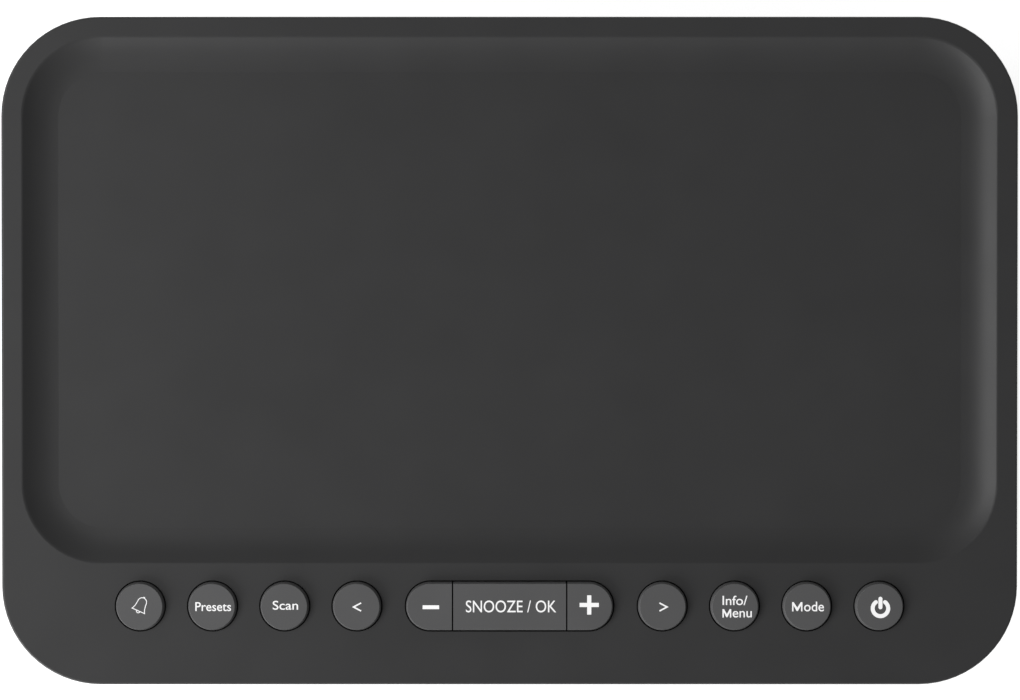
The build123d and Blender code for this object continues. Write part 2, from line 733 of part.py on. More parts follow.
# ---- Loudspeakers ------------------------------------------------------------------
def speaker_frame():
    """The pressed basket: a flange with four ears, a windowed cone and a rear ring."""
    flange_y = (BASKET_FRONT_Y, BASKET_FRONT_Y + BASKET_T)
    frame = plate_y(2 * (EAR_X + EAR_R), 2 * (EAR_DZ + EAR_R), EAR_R, 0, 0, *flange_y)
    frame += rod_y(0, 0, SPEAKER_R, *flange_y)
    frame -= rod_y(0, 0, BASKET_R - 2 * BASKET_T, BASKET_FRONT_Y - EPS, flange_y[1] + EPS)
    frame += turned_y(
        (BASKET_R, BASKET_FRONT_Y),
        (BASKET_R, BASKET_FRONT_Y + 2 * BASKET_T),
        (BASKET_REAR_R, BASKET_REAR_Y),
        (BASKET_HOLE_R, BASKET_REAR_Y),
        (BASKET_HOLE_R, BASKET_REAR_Y - BASKET_T),
        (BASKET_REAR_R - 0.75 * BASKET_T, BASKET_REAR_Y - BASKET_T),
        (BASKET_R - BASKET_T, BASKET_FRONT_Y + 1.75 * BASKET_T),
        (BASKET_R - BASKET_T, BASKET_FRONT_Y),
    )
    window = block(
        -BASKET_WINDOW, BASKET_WINDOW,
        BASKET_FRONT_Y + 2.75 * BASKET_T, BASKET_REAR_Y - 1.75 * BASKET_T,
        -2 * SPEAKER_R, 2 * SPEAKER_R,
    )
    for turn in 45, 135:
        frame -= Rot(0, turn, 0) * window
    for x in EAR_X, -EAR_X:
        for z in EAR_DZ, -EAR_DZ:
            frame -= rod_y(x, z, SCREW_R + FIT_GAP, BASKET_FRONT_Y - EPS, flange_y[1] + EPS)
    return frame


def speaker_magnet():
    """The magnet: a front plate, a ferrite ring, and a yoke with the pole."""
    ring_front = BASKET_REAR_Y + PLATE_T
    ring_rear = MAGNET_REAR_Y - PLATE_T
    front_plate = turned_y(
        (PLATE_BORE_R, BASKET_REAR_Y), (PLATE_R, BASKET_REAR_Y),
        (PLATE_R, ring_front), (PLATE_BORE_R, ring_front),
    )
    ring = turned_y(
        (MAGNET_BORE_R, ring_front), (MAGNET_R, ring_front),
        (MAGNET_R, ring_rear), (MAGNET_BORE_R, ring_rear),
    )
    yoke = turned_y(
        (0, BASKET_REAR_Y), (POLE_R, BASKET_REAR_Y), (POLE_R, ring_rear),
        (PLATE_R, ring_rear), (PLATE_R, MAGNET_REAR_Y), (0, MAGNET_REAR_Y),
    )
    return [front_plate, ring, yoke]


def speaker_surround():
    """The rubber half roll between the cone and the basket."""
    inner, outer = SURROUND_R
    middle = (inner + outer) / 2
    roll_r = (outer - inner) / 2 - 0.75 * SURROUND_T
    flat = turned_y(
        (inner, CONE_FRONT_Y), (outer, CONE_FRONT_Y),
        (outer, BASKET_FRONT_Y), (inner, BASKET_FRONT_Y),
    )
    front_half = Pos(middle, BASKET_FRONT_Y - roll_r / 2) * Rectangle(2 * roll_r, roll_r)
    channel = Pos(middle, BASKET_FRONT_Y) * Circle(roll_r - SURROUND_T)
    roll = (Pos(middle, BASKET_FRONT_Y) * Circle(roll_r) & front_half) - channel
    return flat - revolve(channel, axis=Axis.Y) + revolve(roll, axis=Axis.Y)


def speaker_cone():
    """The moving part: a paper cone with its dust cap and the voice coil's former."""
    neck_y = CONE_FRONT_Y + CONE_DEPTH
    cap_edge_y = neck_y - 2 * CAP_T
    cap_front_y = cap_edge_y - CAP_H
    cap_sphere_r = (CAP_R ** 2 + CAP_H ** 2) / (2 * CAP_H)
    half_angle = asin(CAP_R / cap_sphere_r) / 2
    cap_curve = ThreePointArc(
        (CAP_R, cap_edge_y),
        (cap_sphere_r * sin(half_angle), cap_front_y + cap_sphere_r * (1 - cos(half_angle))),
        (0, cap_front_y),
    )
    rest = Polyline(
        (0, cap_front_y), (0, cap_front_y + CAP_T), (COIL_R[0], cap_edge_y),
        (COIL_R[0], COIL_REAR_Y), (COIL_R[1], COIL_REAR_Y), (COIL_R[1], neck_y),
        (COIL_R[1] + CAP_T, neck_y), (CONE_R, CONE_FRONT_Y + CAP_T),
        (CONE_R, CONE_FRONT_Y), (CAP_R, cap_edge_y),
    )
    return revolve(make_face(cap_curve + rest), axis=Axis.Y)


def speaker_gasket():
    """A foam ring between the flange and the cloth; it follows the wall at the corner."""
    ring = turned_y(
        (SURROUND_R[1], FRONT_Y), (SPEAKER_R, FRONT_Y),
        (SPEAKER_R, BASKET_FRONT_Y), (SURROUND_R[1], BASKET_FRONT_Y),
    )
    placed = Pos(SPEAKER_X, 0, SPEAKER_Z) * ring
    for x, z in ear_places():
        placed -= rod_y(x, z, EAR_BOSS_R + FIT_GAP, FRONT_Y, BASKET_FRONT_Y + EPS)
    return placed & slab(outline(WALL + CLOTH_T), 0, HEIGHT)


def speaker_cloth():
    """Woven cloth against the inside of the slots, from the display round the corner."""
    cloth = band(WALL, WALL + CLOTH_T, *CLOTH_Z)
    cloth &= block(CLOTH_X, WIDTH, FRONT_Y, CLOTH_END_Y, 0, HEIGHT)
    for x, z in ear_places():
        cloth -= rod_y(x, z, EAR_BOSS_R + FIT_GAP, FRONT_Y, 0)
    return cloth


def speaker_screws():
    """Eight short screws through the baskets' ears."""
    forwards = Rot(-90, 0, 0) * screw(EAR_SCREW_LENGTH)
    return [Pos(x, BASKET_FRONT_Y + BASKET_T, z) * forwards for x, z in ear_places()]


def both_speakers(shape):
    """A left and a right copy of a loudspeaker piece that is drawn about the Y axis."""
    return [Pos(side * SPEAKER_X, 0, SPEAKER_Z) * shape for side in (1, -1)]


# ---- Circuit boards and what is on them -----------------------------------------------
def main_pcb():
    """The main board, on the base cover's standoffs."""
    board = block(-MAIN_PCB_X, MAIN_PCB_X, *MAIN_PCB_Y, MAIN_PCB_Z, MAIN_PCB_TOP)
    for x in STANDOFF_X, -STANDOFF_X:
        for y in STANDOFF_YS:
            board -= post(x, y, SCREW_R + FIT_GAP, MAIN_PCB_Z - EPS, MAIN_PCB_TOP + EPS)
    return board


def main_pcb_screws():
    """Four screws that hold the main board to its standoffs."""
    return [
        Pos(x, y, MAIN_PCB_TOP) * screw(BOARD_SCREW_LENGTH)
        for x in (STANDOFF_X, -STANDOFF_X) for y in STANDOFF_YS
    ]


def square(x, y, size, z0, z1):
    """A square block on its centre."""
    half = size / 2
    return block(x - half, x + half, y - half, y + half, z0, z1)


def tuner_module():
    """The tuner's own small board, soldered on the main board."""
    return square(TUNER_X, TUNER_Y, TUNER_SIZE, MAIN_PCB_TOP, TUNER_TOP)


def tuner_shield():
    """A folded tin can over the tuner."""
    can = square(TUNER_X, TUNER_Y, SHIELD_SIZE, TUNER_TOP, TUNER_TOP + SHIELD_H)
    can = fillet(can.edges().group_by(Axis.Z)[-1], SHIELD_R)
    room_top = TUNER_TOP + SHIELD_H - SHIELD_T
    return can - square(TUNER_X, TUNER_Y, SHIELD_SIZE - 2 * SHIELD_T, TUNER_TOP - EPS, room_top)


def main_chips():
    """The amplifier, the processor and three smaller chips."""
    z0 = MAIN_PCB_TOP
    chips = []
    for x, y, w, d, h in CHIPS:
        chip = block(x - w / 2, x + w / 2, y - d / 2, y + d / 2, z0, z0 + h)
        chips.append(chamfer(chip.edges().group_by(Axis.Z)[-1], CHIP_CHAMFER))
    return chips


def capacitors():
    """Upright cans."""
    cans = []
    for x, y, r, h in CAPACITORS:
        can = post(x, y, r, MAIN_PCB_TOP, MAIN_PCB_TOP + h)
        cans.append(fillet(can.edges().group_by(Axis.Z)[-1], CAN_R))
    return cans


def inductors():
    """Drum-shaped chokes: a square foot, a wound waist and a round cap."""
    z0 = MAIN_PCB_TOP
    drums = []
    for x, y, size in INDUCTORS:
        foot = square(x, y, size, z0, z0 + DRUM_FOOT_H)
        waist = post(x, y, 0.38 * size, z0, z0 + DRUM_H)
        cap = post(x, y, 0.48 * size, z0 + DRUM_CAP_Z, z0 + DRUM_H)
        drums.append(foot + waist + cap)
    return drums


def wire_connectors():
    """White headers on the main board, open at the top."""
    z0 = MAIN_PCB_TOP
    headers = []
    for x, y, w in CONNECTORS:
        half_w = w / 2
        half_d = CONNECTOR_D / 2
        body = block(x - half_w, x + half_w, y - half_d, y + half_d, z0, z0 + CONNECTOR_H)
        half_w -= CONNECTOR_WALL
        half_d -= CONNECTOR_WALL
        room = block(
            x - half_w, x + half_w, y - half_d, y + half_d,
            z0 + CONNECTOR_FLOOR, z0 + CONNECTOR_H + EPS,
        )
        headers.append(body - room)
    return headers


# ---- Connectors at the back -------------------------------------------------------------
def port_body(x, width, depth, top):
    """The block behind a round connector, on the main board."""
    return block(x - width / 2, x + width / 2, PORT_BODY_Y - depth, PORT_BODY_Y, MAIN_PCB_TOP, top)


def dc_jack():
    """The power inlet: a block on the main board with a round nose through the back."""
    jack = port_body(DC_X, DC_BODY_W, DC_DEPTH, DC_BODY_TOP)
    jack += rod_y(DC_X, PORT_Z, DC_NOSE_R, PORT_BODY_Y - EPS, PORT_FACE_Y)
    return jack - rod_y(DC_X, PORT_Z, DC_BORE_R, PORT_FACE_Y - DC_BORE_DEPTH, PORT_FACE_Y + EPS)


def dc_jack_pin():
    """The contact in the middle of the power inlet."""
    pin_y = (PORT_FACE_Y - DC_BORE_DEPTH, PORT_FACE_Y - DC_PIN_SET_BACK)
    pin = rod_y(DC_X, PORT_Z, DC_PIN_R, *pin_y)
    return fillet(pin.edges().group_by(Axis.Y)[-1], DC_PIN_EDGE_R)


def usb_port():
    """The folded shell of the charging socket, on two rows of legs."""
    y0 = PORT_FACE_Y - USB_DEPTH
    shell = plate_y(USB_W, USB_H, USB_R, USB_X, USB_Z, y0, PORT_FACE_Y)
    shell -= plate_y(
        USB_W - 2 * USB_SKIN, USB_H - 2 * USB_SKIN, USB_R - USB_SKIN / 2,
        USB_X, USB_Z, y0 + EPS, PORT_FACE_Y + EPS,
    )
    shell_bottom = USB_Z - USB_H / 2
    half_w = USB_W / 2
    return shell + block(
        USB_X - half_w, USB_X + half_w, y0, y0 + USB_LEG_DEPTH, MAIN_PCB_TOP, shell_bottom + USB_SKIN / 2
    )


def usb_tongue():
    """The insulating tongue that carries the charging socket's contacts."""
    y0 = PORT_FACE_Y - USB_DEPTH + EPS
    y1 = PORT_FACE_Y - USB_TONGUE_SET_BACK
    half_w = USB_TONGUE_W / 2
    return block(USB_X - half_w, USB_X + half_w, y0, y1, *USB_TONGUE_Z)


def headphone_jack():
    """The headphone socket: a block on the main board with a round nose."""
    bore_y = (PORT_BODY_Y - PHONES_DEPTH + EPS, PORT_FACE_Y + EPS)
    jack = port_body(PHONES_X, PHONES_BODY_W, PHONES_DEPTH, PHONES_BODY_TOP)
    jack += rod_y(PHONES_X, PHONES_Z, PHONES_NOSE_R, PORT_BODY_Y - EPS, PORT_FACE_Y)
    return jack - rod_y(PHONES_X, PHONES_Z, PHONES_BORE_R, *bore_y)


def aerial_gland():
    """A rubber bush for the aerial wire: a flange on each side of the wall."""
    wall_y = (INNER_REAR_Y, REAR_Y - PANEL_DEPTH)
    ends_y = (wall_y[0] - GLAND_BACK_T, wall_y[1] + GLAND_FRONT_T)
    bush = rod_y(AERIAL_X, PORT_Z, GLAND_NECK_R, *ends_y)
    bush += rod_y(AERIAL_X, PORT_Z, GLAND_FLANGE_R, wall_y[1], ends_y[1])
    bush += rod_y(AERIAL_X, PORT_Z, GLAND_FLANGE_R, ends_y[0], wall_y[0])
    return bush - rod_y(AERIAL_X, PORT_Z, GLAND_BORE_R, ends_y[0] - EPS, ends_y[1] + EPS)


# ---- Wires held inside ------------------------------------------------------------------
def speaker_leads():
    """A pair of wires from each loudspeaker's basket to its header on the main board."""
    wires = []
    for x in LEAD_X - WIRE_SPACING / 2, LEAD_X + WIRE_SPACING / 2:
        route = [
            (x + 12, -47.0, 10.6),
            (x + 12, -40.0, 9.6),
            (x + 8, -33.0, 12.0),
            (x + 2, -26.0, 20.0),
            (x, -20.0, 24.5),
            (x, -17.0, 20.5),
            (x, -17.0, PLUG_Z),
        ]
        wires.extend(mirrored(wire(route, WIRE_R)))
    return wires


def button_ribbon():
    """From the key board down to the main board."""
    route = [
        (KEY_RIBBON_X, -45.0, 48.6),
        (KEY_RIBBON_X, -40.0, 47.6),
        (KEY_RIBBON_X, -36.0, 42.0),
        (KEY_RIBBON_X, -32.0, 32.0),
        (KEY_RIBBON_X, -24.0, 26.0),
        (KEY_RIBBON_X, -18.6, 24.0),
        (KEY_RIBBON_X, -18.0, 19.6),
        (KEY_RIBBON_X, -18.0, PLUG_Z),
    ]
    return ribbon(route, KEY_RIBBON_W, RIBBON_T)


def display_ribbon():
    """From the display's board to the main board."""
    route = [
        (DISPLAY_RIBBON_X, -49.7, 17.0),
        (DISPLAY_RIBBON_X, -44.0, 17.6),
        (DISPLAY_RIBBON_X, -36.0, 23.0),
        (DISPLAY_RIBBON_X, -26.0, 25.4),
        (DISPLAY_RIBBON_X, -18.8, 24.0),
        (DISPLAY_RIBBON_X, -18.0, 19.6),
        (DISPLAY_RIBBON_X, -18.0, PLUG_Z),
    ]
    return ribbon(route, DISPLAY_RIBBON_W, RIBBON_T)


# ---- Nodes ------------------------------------------------------------------------------
def nodes():
    """Every piece of the radio, by node name."""
    cones = both_speakers(speaker_cone())
    pieces = {
        "top_cover": top_cover(),
        "front_shell": front_shell(),
        "rear_shell": rear_shell(),
        "base_cover": base_cover(),
        "rubber_feet": group(rubber_feet()),
        "base_screws": group(base_screws()),
        "display_lens": display_lens(),
        "lcd_panel": lcd_panel(),
        "backlight_guide": backlight_guide(),
        "display_frame": display_frame(),
        "display_pcb": display_pcb(),
        "display_screws": group(display_screws()),
        "button_pcb": button_pcb(),
        "button_pcb_screws": group(button_pcb_screws()),
        "tact_switches": group(tact_switches()),
        "speaker_frames": group(both_speakers(speaker_frame())),
        "speaker_magnets": group([m for part in speaker_magnet() for m in both_speakers(part)]),
        "speaker_surrounds": group(both_speakers(speaker_surround())),
        "speaker_gaskets": group(mirrored(speaker_gasket())),
        "speaker_cloths": group(mirrored(speaker_cloth())),
        "speaker_screws": group(speaker_screws()),
        "speaker_cone_right": cones[0],
        "speaker_cone_left": cones[1],
        "main_pcb": main_pcb(),
        "main_pcb_screws": group(main_pcb_screws()),
        "tuner_module": tuner_module(),
        "tuner_shield": tuner_shield(),
        "main_chips": group(main_chips()),
        "capacitors": group(capacitors()),
        "inductors": group(inductors()),
        "wire_connectors": group(wire_connectors()),
        "dc_jack": dc_jack(),
        "dc_jack_pin": dc_jack_pin(),
        "usb_port": usb_port(),
        "usb_tongue": usb_tongue(),
        "headphone_jack": headphone_jack(),
        "aerial_gland": aerial_gland(),
        "speaker_leads": group(speaker_leads()),
        "button_ribbon": button_ribbon(),
        "display_ribbon": display_ribbon(),
    }
    pieces.update(keys())
    return pieces


os.makedirs("parts", exist_ok=True)
for node, shape in nodes().items():
    export_step(shape, f"parts/{node}.step")
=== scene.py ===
"""The looks of a bedside radio: its finishes, key legends, grille cloth and lit display."""
import json
from math import atan2, cos, pi, radians, sin

import bmesh
import bpy
from mathutils import Matrix, Vector


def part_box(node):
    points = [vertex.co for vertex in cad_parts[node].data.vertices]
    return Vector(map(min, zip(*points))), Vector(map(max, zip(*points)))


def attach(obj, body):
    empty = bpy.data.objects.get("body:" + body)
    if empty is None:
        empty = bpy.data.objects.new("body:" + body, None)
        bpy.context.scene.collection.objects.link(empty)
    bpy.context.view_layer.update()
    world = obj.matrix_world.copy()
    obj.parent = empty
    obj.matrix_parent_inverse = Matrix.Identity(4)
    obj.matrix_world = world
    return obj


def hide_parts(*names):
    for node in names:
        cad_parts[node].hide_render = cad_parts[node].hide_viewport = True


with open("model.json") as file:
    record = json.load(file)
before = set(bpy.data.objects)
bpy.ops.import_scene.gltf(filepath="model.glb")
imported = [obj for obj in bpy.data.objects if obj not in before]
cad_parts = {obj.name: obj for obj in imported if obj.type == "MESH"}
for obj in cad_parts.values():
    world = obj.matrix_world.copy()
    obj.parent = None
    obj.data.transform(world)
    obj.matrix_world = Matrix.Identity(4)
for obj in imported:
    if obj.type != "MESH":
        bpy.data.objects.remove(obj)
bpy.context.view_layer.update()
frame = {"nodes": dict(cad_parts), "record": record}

MM = 0.001
BODY = "casing"

# ---- Legends, in millimetres from the middle of their key ------------------------
INK_THICKNESS = 0.03
# painted light: the legends' white print glows with this strength, a painted highlight and not a
# lamp
INK_PAINTED_GLOW = 0.4
WORDS = (
    # piece, key, words, left, right, baseline, top, weight
    ("legend_presets", "key_presets", "Presets", -2.92, 3.40, -0.79, 0.79, 0.005),
    ("legend_scan", "key_scan", "Scan", -2.04, 2.45, -0.55, 1.04, 0.005),
    ("legend_info", "key_info", "Info/", -2.20, 2.20, 0.27, 1.93, 0.004),
    ("legend_enu", "key_info", "enu", -0.42, 2.97, -1.92, -0.77, 0.004),
    ("legend_ode", "key_mode", "ode", -0.58, 2.93, -0.84, 0.89, 0.004),
    ("legend_snooze", "key_snooze", "SNOOZE / OK", -7.73, 8.25, -1.02, 1.09, 0.0),
)
# The M of Menu and Mode, which is drawn by itself with upright legs
CAPITALS = (
    # piece, key, left, right, baseline, top
    ("legend_capital_menu", "key_info", -2.21, -0.66, -1.92, -0.44),
    ("legend_capital_mode", "key_mode", -2.70, -0.88, -0.83, 0.80),
)
CAPITAL_STROKE = 0.24
CAPITAL_SHOULDER = 0.66        # where the wedge meets a leg, as a share of the height
CAPITAL_WEDGE = (0.04, 0.40)   # the foot and the notch of the wedge, as shares of the height
CAPITAL_FOOT = 0.45            # half of the wedge's foot, in strokes
CAPITAL_SLANT = 1.15           # a leg's width at the top, in strokes
ARROW_SIZE = (1.34, 1.42)
ARROW_STROKE = 0.25
ARROW_PLACE = (0.12, -0.06)
MINUS_STROKE = 0.68
MINUS_LENGTH = 2.92
MINUS_PLACE = (-13.92, -0.10)  # of the minus and the plus, from the middle of the long key
PLUS_STROKE = 0.74
PLUS_LENGTH = 3.4
PLUS_PLACE = (14.08, 0.30)
POWER_RING_R = 1.37
POWER_STROKE = 0.70
POWER_GAP = radians(36)        # half of the opening in the ring
POWER_PLACE = (0.12, -0.31)
POWER_BAR = (-0.15, 2.06)      # ends of the bar, from the middle of the ring
BELL_STROKE = 0.14
BELL_HEIGHT = 2.60
BELL_DOME_R = 0.86
BELL_SIDE = ((0.92, 1.15), (1.00, 0.72), (1.14, 0.34), (1.34, 0.0))
CLAPPER_R = 0.36
BELL_LEAN = radians(-24)
BELL_PLACE = (-0.23, -0.80)

# ---- Grille cloth ------------------------------------------------------------------
WALL = 2.4
CORNER_R = 17.5
CLOTH_T = 0.35
CLOTH_BEHIND_WALL = 0.2
CLOTH_LOW = 12.52
CLOTH_HIGH = 43.48
CLOTH_START_X = 40.6
CLOTH_CELL = 0.8
THREAD_PITCH = 0.36

# ---- Display -------------------------------------------------------------------------
DIGIT_H = 14.0
DIGIT_W = 7.6
DIGIT_STROKE = 1.5
DIGIT_SLANT = 0.09
DIGIT_GAP = 0.16               # between bars, in strokes
DIGIT_SPACE = 2.0              # between digits, in strokes
COLON_SPACE = 2.6              # that the colon takes up, in strokes
COLON_R = 0.85
COLON_HEIGHTS = (0.32, 0.68)   # of its dots, as shares of a digit's height
LIT_T = 0.04
LIT_GLOW = 9.0
TIME_PLACE = (-31.5, -6.5)
ALARM_PLACE = (17.0, 4.2)
ALARM_SCALE = 0.30
LEVEL_BARS = 5
LEVEL_PLACE = (18.6, -6.5)
LEVEL_BAR_W = 1.4
LEVEL_BAR_R = 0.2
LEVEL_PITCH = 2.2
LEVEL_STEP = 1.1
BARS = {
    "0": "abcdef", "1": "bc", "2": "abged", "3": "abgcd", "4": "fgbc",
    "5": "afgcd", "6": "afgedc", "7": "abc", "8": "abcdefg", "9": "abcdfg",
}

# ---- Socket contacts -------------------------------------------------------------------
CONTACTS = 4
CONTACT_W = 1.1
CONTACT_T = 0.12
CONTACT_SHARE = 0.8            # of the tongue's length
CONTACT_FROM_END = 0.4
CONTACT_SUNK = 0.05
CONTACT_EDGE_R = 0.03

# ---- Camera and lights -----------------------------------------------------------------
CAMERA_DISTANCE = 0.450
CAMERA_TILT = radians(0.55)
CAMERA_AIM = (0.00007, 0.00017)
VIEW_WIDTH = 0.18058
SENSOR = 36.0
FLOOR_GLOW = 0.75
# name: place, width, height, strength
LIGHTS = (
    ("left_soft", (-0.55, 0.00, 0.60), 0.5, 0.4, 2.15),
    ("corner_soft", (-0.55, -0.50, 0.30), 0.5, 0.3, 3.2),
    ("front_soft", (0.0, -0.75, 0.25), 0.6, 0.3, 0.5),
    ("rear_soft", (-0.10, 0.75, 0.25), 0.6, 0.3, 0.3),
)
AMBIENT = 0.21


# ---- Node groups -----------------------------------------------------------------------
def new_group(name, inputs, outputs):
    """An empty shader node group with the named sockets."""
    tree = bpy.data.node_groups.new(name, "ShaderNodeTree")
    for label, kind in inputs:
        tree.interface.new_socket(label, in_out="INPUT", socket_type=kind)
    for label, kind in outputs:
        tree.interface.new_socket(label, in_out="OUTPUT", socket_type=kind)
    return tree, tree.nodes.new("NodeGroupInput"), tree.nodes.new("NodeGroupOutput")


def maths(tree, operation, a, b=None, c=None):
    """A Math node whose inputs are numbers or sockets."""
    node = tree.nodes.new("ShaderNodeMath")
    node.operation = operation
    for socket, value in zip(node.inputs, (a, b, c)):
        if isinstance(value, bpy.types.NodeSocket):
            tree.links.new(value, socket)
        elif value is not None:
            socket.default_value = value
    return node.outputs[0]


def noise(tree, vector, scale, detail, rough=0.5):
    """A noise pattern's value, from 0 to 1."""
    node = tree.nodes.new("ShaderNodeTexNoise")
    tree.links.new(vector, node.inputs["Vector"])
    if isinstance(scale, bpy.types.NodeSocket):
        tree.links.new(scale, node.inputs["Scale"])
    else:
        node.inputs["Scale"].default_value = scale
    node.inputs["Detail"].default_value = detail
    node.inputs["Roughness"].default_value = rough
    return node.outputs[0]


def swing(tree, base, amount, mask):
    """base times 1 + amount * (2 * mask - 1)."""
    centred = maths(tree, "MULTIPLY_ADD", mask, 2.0, -1.0)
    share = maths(tree, "MULTIPLY_ADD", centred, amount, 1.0)
    return maths(tree, "MULTIPLY", base, share)


def tinted(tree, colour, factor):
    """A colour made lighter or darker by a factor."""
    node = tree.nodes.new("ShaderNodeVectorMath")
    node.operation = "SCALE"
    tree.links.new(colour, node.inputs[0])
    tree.links.new(factor, node.inputs["Scale"])
    return node.outputs[0]


FLOAT, COLOUR = "NodeSocketFloat", "NodeSocketColor"
FINISH_INPUTS = [
    ("Colour", COLOUR), ("Colour swing", FLOAT), ("Roughness", FLOAT),
    ("Roughness swing", FLOAT), ("Density", FLOAT),
]
FINISH_OUTPUTS = [("Colour", COLOUR), ("Roughness", FLOAT), ("Height", FLOAT)]


def finish_outputs(tree, given, made, grain, patch):
    """The outputs of a finish group: patch changes its colour and roughness, grain its height."""
    colour_share = swing(tree, 1.0, given.outputs["Colour swing"], patch)
    tree.links.new(tinted(tree, given.outputs["Colour"], colour_share), made.inputs["Colour"])
    rough = swing(tree, given.outputs["Roughness"], given.outputs["Roughness swing"], patch)
    tree.links.new(rough, made.inputs["Roughness"])
    tree.links.new(grain, made.inputs["Height"])


def moulded_grain():
    """Fine spark-eroded texture, with slow changes of tone over the moulding."""
    tree, given, made = new_group("moulded_grain", FINISH_INPUTS, FINISH_OUTPUTS)
    place = tree.nodes.new("ShaderNodeTexCoord").outputs["Object"]
    grain = noise(tree, place, given.outputs["Density"], 2.0)
    slow = maths(tree, "MULTIPLY", given.outputs["Density"], 0.02)
    patch = noise(tree, place, slow, 1.0)
    finish_outputs(tree, given, made, grain, patch)
    return tree


def drawn_lines():
    """Long fine scratches along X, as on rolled, drawn or brushed metal."""
    tree, given, made = new_group("drawn_lines", FINISH_INPUTS, FINISH_OUTPUTS)
    place = tree.nodes.new("ShaderNodeTexCoord").outputs["Object"]
    stretch = tree.nodes.new("ShaderNodeMapping")
    stretch.inputs["Scale"].default_value = (0.04, 1.0, 1.0)
    tree.links.new(place, stretch.inputs["Vector"])
    line = noise(tree, stretch.outputs[0], given.outputs["Density"], 3.0, 0.7)
    finish_outputs(tree, given, made, line, line)
    return tree


def plain_weave():
    """Over-and-under threads on the piece's own UV map, one UV unit to a thread pair."""
    tree, _, made = new_group("plain_weave", [], [("Height", FLOAT), ("Top", FLOAT)])
    uv = tree.nodes.new("ShaderNodeTexCoord").outputs["UV"]
    split = tree.nodes.new("ShaderNodeSeparateXYZ")
    tree.links.new(uv, split.inputs[0])
    across = maths(tree, "SINE", maths(tree, "MULTIPLY", split.outputs["X"], 2 * pi))
    along = maths(tree, "SINE", maths(tree, "MULTIPLY", split.outputs["Y"], 2 * pi))
    over = maths(tree, "GREATER_THAN", maths(tree, "MULTIPLY", across, along), 0.0)
    warp = maths(tree, "ABSOLUTE", across)
    weft = maths(tree, "ABSOLUTE", along)
    under = maths(tree, "SUBTRACT", 1.0, over)
    warp_on_top = maths(tree, "MULTIPLY", warp, over)
    weft_on_top = maths(tree, "MULTIPLY", weft, under)
    height = maths(tree, "ADD", warp_on_top, weft_on_top)
    tree.links.new(height, made.inputs["Height"])
    tree.links.new(maths(tree, "MULTIPLY", warp, weft), made.inputs["Top"])
    return tree


MOULDED = moulded_grain()
DRAWN = drawn_lines()
WOVEN = plain_weave()


# ---- Materials -----------------------------------------------------------------------------
def shader_of(name):
    """A new material, with its node tree and its shader."""
    material = bpy.data.materials.new(name)
    material.use_nodes = True
    return material, material.node_tree, material.node_tree.nodes["Principled BSDF"]


def bumped(tree, height, depth, shader):
    """Relief of the given depth, in millimetres, on the shader's normal."""
    bump = tree.nodes.new("ShaderNodeBump")
    bump.inputs["Distance"].default_value = depth * MM
    tree.links.new(height, bump.inputs["Height"])
    tree.links.new(bump.outputs["Normal"], shader.inputs["Normal"])


def finished(name, colour, roughness, grain, depth, group=MOULDED, swing_by=0.06, **plain):
    """A material from one of the grain groups. grain is its cell and depth its relief, in mm."""
    material, tree, shader = shader_of(name)
    surface = tree.nodes.new("ShaderNodeGroup")
    surface.node_tree = group
    surface.inputs["Colour"].default_value = (*colour, 1)
    surface.inputs["Colour swing"].default_value = swing_by
    surface.inputs["Roughness"].default_value = roughness
    surface.inputs["Roughness swing"].default_value = 1.5 * swing_by
    surface.inputs["Density"].default_value = 1 / (grain * MM)
    tree.links.new(surface.outputs["Colour"], shader.inputs["Base Color"])
    tree.links.new(surface.outputs["Roughness"], shader.inputs["Roughness"])
    bumped(tree, surface.outputs["Height"], depth, shader)
    for socket, value in plain.items():
        shader.inputs[socket.replace("_", " ")].default_value = value
    return material


def cloth_material():
    """Black acoustic cloth: painted shade makes it dark between its threads, and painted light
    makes the thread tops grey.
    """
    material, tree, shader = shader_of("acoustic_cloth")
    weave = tree.nodes.new("ShaderNodeGroup")
    weave.node_tree = WOVEN
    # Painted shade and highlight: the colour follows the weave's height, near black between
    # threads and grey on their tops.
    painted_shade_ramp = tree.nodes.new("ShaderNodeMix")
    painted_shade_ramp.data_type = "RGBA"
    painted_shade_ramp.inputs["A"].default_value = (0.006, 0.006, 0.007, 1)
    painted_shade_ramp.inputs["B"].default_value = (0.05, 0.05, 0.053, 1)
    tree.links.new(weave.outputs["Height"], painted_shade_ramp.inputs["Factor"])
    tree.links.new(painted_shade_ramp.outputs["Result"], shader.inputs["Base Color"])
    shader.inputs["Roughness"].default_value = 0.85
    shader.inputs["Sheen Weight"].default_value = 0.3
    bumped(tree, weave.outputs["Height"], 0.12, shader)
    return material


def circuit_board_material():
    """Green solder mask with copper tracks showing through as paler lines."""
    material, tree, shader = shader_of("solder_mask")
    place = tree.nodes.new("ShaderNodeTexCoord").outputs["Object"]
    cells = tree.nodes.new("ShaderNodeTexVoronoi")
    cells.distance = "MANHATTAN"
    cells.feature = "F1"
    cells.inputs["Scale"].default_value = 260.0
    cells.inputs["Randomness"].default_value = 0.55
    tree.links.new(place, cells.inputs["Vector"])
    stripes = maths(tree, "SINE", maths(tree, "MULTIPLY", cells.outputs["Distance"], 40.0))
    track = maths(tree, "GREATER_THAN", stripes, 0.55)
    colours = tree.nodes.new("ShaderNodeMix")
    colours.data_type = "RGBA"
    colours.inputs["A"].default_value = (0.008, 0.075, 0.028, 1)
    colours.inputs["B"].default_value = (0.02, 0.15, 0.055, 1)
    tree.links.new(track, colours.inputs["Factor"])
    tree.links.new(colours.outputs["Result"], shader.inputs["Base Color"])
    shader.inputs["Roughness"].default_value = 0.3
    bumped(tree, track, 0.03, shader)
    return material


